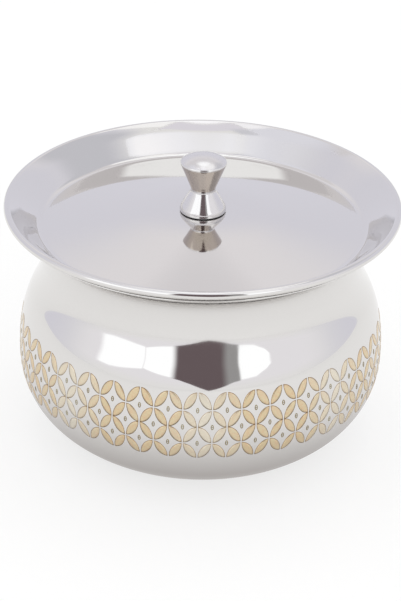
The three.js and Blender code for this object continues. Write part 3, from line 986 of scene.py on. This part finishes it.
def lay_floor():
    """White seamless paper, which takes the pot's shadow."""
    mesh = bpy.data.meshes.new("floor")
    reach = PAPER_REACH
    corners = [(-reach, -reach, 0), (reach, -reach, 0), (reach, reach, 0), (-reach, reach, 0)]
    mesh.from_pydata(corners, [], [(0, 1, 2, 3)])
    floor = linked("floor", mesh)
    material, tree, shader = new_material("white seamless paper")
    shader.inputs["Base Color"].default_value = linear(PAPER_COLOUR)
    shader.inputs["Roughness"].default_value = PAPER_ROUGHNESS
    shader.inputs["Specular IOR Level"].default_value = 0.0
    seen = seen_ray(tree, node(tree, "ShaderNodeLightPath").outputs)
    strength = math_node(tree, "MULTIPLY", seen, PAPER_GLOW)
    lift = node(tree, "ShaderNodeEmission", {"Color": linear("#ffffff"), "Strength": strength})
    both = node(tree, "ShaderNodeAddShader", {0: shader.outputs[0], 1: lift.outputs[0]})
    tree.links.new(both.outputs[0], tree.nodes["Material Output"].inputs["Surface"])
    floor.data.materials.append(material)


def lay_painted_foot_shadow():
    """A grey round card under the pot, painted shadow of the floor round its foot, which only shows
    in metal and thins out with distance.
    """
    mesh = bpy.data.meshes.new("foot_card")
    turns = [2 * math.pi * i / CARD_SIDES for i in range(CARD_SIDES)]
    reach, height = CARD_REACH * MM, CARD_HEIGHT * MM
    points = [(reach * math.cos(turn), reach * math.sin(turn), height) for turn in turns]
    mesh.from_pydata(points, [], [range(CARD_SIDES)])
    card = linked("foot_card", mesh)
    material, tree = empty_material("painted shadow under the pot")
    _, _, radius = object_place(tree)
    # Painted shadow: fully dark within the core round the foot, thinning out exponentially beyond
    # it.
    past = math_node(tree, "MAXIMUM", math_node(tree, "SUBTRACT", radius, PAINTED_SHADOW_CORE), 0)
    decay = math_node(tree, "EXPONENT", math_node(tree, "DIVIDE", past, -PAINTED_SHADOW_DECAY))
    glow_by(tree, math_node(tree, "MULTIPLY", decay, PAINTED_SHADOW_OPACITY), PAINTED_SHADOW_COLOUR)
    mesh.materials.append(material)
    show_in_metal_only(card)


def show_in_metal_only(piece):
    piece.visible_camera = False
    piece.visible_diffuse = False
    piece.visible_shadow = False


def glow_by(tree, opacity, hex_colour):
    """Ends a tree in light that the steel shows as this colour, as strong as it is opaque."""
    glow = node(tree, "ShaderNodeEmission", {"Color": behind_steel(hex_colour), "Strength": 1.0})
    clear = node(tree, "ShaderNodeBsdfTransparent")
    links = {0: opacity, 1: clear.outputs[0], 2: glow.outputs[0]}
    mixed = node(tree, "ShaderNodeMixShader", links)
    node(tree, "ShaderNodeOutputMaterial", {"Surface": mixed.outputs[0]})


def seen_ray(tree, path):
    """1 for rays that come straight, or by a metal or glass surface, from the camera."""
    seen = math_node(tree, "MAXIMUM", path["Is Camera Ray"], path["Is Glossy Ray"])
    return math_node(tree, "MAXIMUM", seen, path["Is Transmission Ray"])


def light_world():
    """White all round, a little dimmer for what lights the dull surfaces."""
    world = bpy.data.worlds.new("studio")
    bpy.context.scene.world = world
    world.use_nodes = True
    tree = world.node_tree
    tree.nodes.clear()
    seen = seen_ray(tree, node(tree, "ShaderNodeLightPath").outputs)
    white = linear("#ffffff")
    fill = node(tree, "ShaderNodeBackground", {"Color": white, "Strength": WORLD_FILL})
    backdrop = node(tree, "ShaderNodeBackground", {"Color": white, "Strength": 1.0})
    links = {0: seen, 1: fill.outputs[0], 2: backdrop.outputs[0]}
    mixed = node(tree, "ShaderNodeMixShader", links)
    node(tree, "ShaderNodeOutputWorld", {"Surface": mixed.outputs[0]})


def behind_steel(hex_colour):
    """The light that shows as this colour once the polished steel has mirrored it."""
    pairs = zip(linear(hex_colour)[:3], linear(POLISHED_COLOUR)[:3])
    return [seen / kept for seen, kept in pairs] + [1.0]


def panel_material(name, colour, fades, spans):
    """Glow that fades out over its edges, on the panel's own UV."""
    material, tree = empty_material(name + " cloth")
    place = node(tree, "ShaderNodeUVMap", uv_map="spread").outputs[0]
    parts = node(tree, "ShaderNodeSeparateXYZ", {0: place}).outputs
    opacity = 1.0
    for part, fade, span in zip(parts, fades, spans):
        for end in (0, 1):
            reach = max(fade[end], LEAST_FADE) / span
            inner = 1 - reach if end else reach
            values = {"Value": part, "From Min": end, "From Max": inner}
            ramp = node(tree, "ShaderNodeMapRange", values, interpolation_type="SMOOTHSTEP")
            opacity = math_node(tree, "MULTIPLY", ramp.outputs[0], opacity)
    glow_by(tree, opacity, colour)
    return material


def hang_panel(name, reach, colour, left_fade, right_fade, foot_fade, top_fade, outline):
    """A panel on a dome of this radius round the pot, which only shows in polished metal."""
    columns, rows = PANEL_GRID
    ends = np.array(outline, float)
    azimuths = np.linspace(ends[0, 0], ends[-1, 0], columns + 1)
    lows = np.interp(azimuths, ends[:, 0], ends[:, 1])
    highs = np.interp(azimuths, ends[:, 0], ends[:, 2])
    points, spread = [], []
    width = ends[-1, 0] - ends[0, 0]
    for azimuth, low, high in zip(azimuths, lows, highs):
        turn = math.radians(azimuth)
        for row in range(rows + 1):
            elevation = math.radians(low + (high - low) * row / rows)
            flat, height = reach * math.cos(elevation), reach * math.sin(elevation)
            points.append((flat * math.sin(turn), -flat * math.cos(turn), height))
            spread.append(((azimuth - ends[0, 0]) / width, row / rows))
    step = rows + 1
    faces = [(i * step + j, (i + 1) * step + j, (i + 1) * step + j + 1, i * step + j + 1)
             for i in range(columns) for j in range(rows)]
    mesh = bpy.data.meshes.new(name)
    mesh.from_pydata(points, [], faces)
    uv = mesh.uv_layers.new(name="spread")
    for loop in mesh.loops:
        uv.data[loop.index].uv = spread[loop.vertex_index]
    panel = linked(name, mesh)
    spans = (width, (highs - lows).mean())
    fades = ((left_fade, right_fade), (foot_fade, top_fade))
    mesh.materials.append(panel_material(name, colour, fades, spans))
    show_in_metal_only(panel)


def hang_lamp(name, place):
    """A soft square lamp, aimed at the pot's foot, that lights the floor and the dull surfaces."""
    data = bpy.data.lights.new(name, "AREA")
    data.size = LAMP_SIZE
    data.energy = LAMP_POWER
    data.shape = "SQUARE"
    lamp = linked(name, data)
    lamp.location = place
    lamp.rotation_euler = (Vector() - Vector(place)).to_track_quat("-Z", "Y").to_euler()
    lamp.visible_glossy = False


# Camera, fitted to the lid's edge, the belly's outline and the band: distance, target and clip in
# metres, focal length in pixels of the photograph and sensor in millimetres
CAMERA_ELEVATION = math.radians(27.8577)
CAMERA_ROLL = math.radians(1.0621)
CAMERA_DISTANCE = 1.76
CAMERA_TARGET = Vector((-0.000377, 0, 0.0800))
FOCAL_PIXELS = 3119.755
IMAGE_HEIGHT = 601
SENSOR_HEIGHT = 36
CAMERA_CLIP = (0.01, 50)


def place_camera():
    camera = linked("camera", bpy.data.cameras.new("camera"))
    back = Vector((0, -math.cos(CAMERA_ELEVATION), math.sin(CAMERA_ELEVATION)))
    level = Vector((1, 0, 0))
    upright = back.cross(level)
    right = level * math.cos(CAMERA_ROLL) + upright * math.sin(CAMERA_ROLL)
    up = upright * math.cos(CAMERA_ROLL) - level * math.sin(CAMERA_ROLL)
    place = CAMERA_TARGET + back * CAMERA_DISTANCE
    rows = [(*axes, offset) for *axes, offset in zip(right, up, back, place)]
    camera.matrix_world = Matrix([*rows, (0, 0, 0, 1)])
    camera.data.sensor_fit = "VERTICAL"
    camera.data.sensor_height = SENSOR_HEIGHT
    camera.data.lens = FOCAL_PIXELS / IMAGE_HEIGHT * SENSOR_HEIGHT
    camera.data.clip_start, camera.data.clip_end = CAMERA_CLIP
    bpy.context.scene.camera = camera


lay_floor()
lay_painted_foot_shadow()
light_world()
for place, (panel, make) in enumerate(PANELS.items()):
    hang_panel(panel, PANEL_REACH - place * PANEL_SPACING, *make)
for lamp_name, lamp_place in LAMPS.items():
    hang_lamp(lamp_name, lamp_place)
place_camera()
bpy.context.scene.view_settings.view_transform = "Standard"
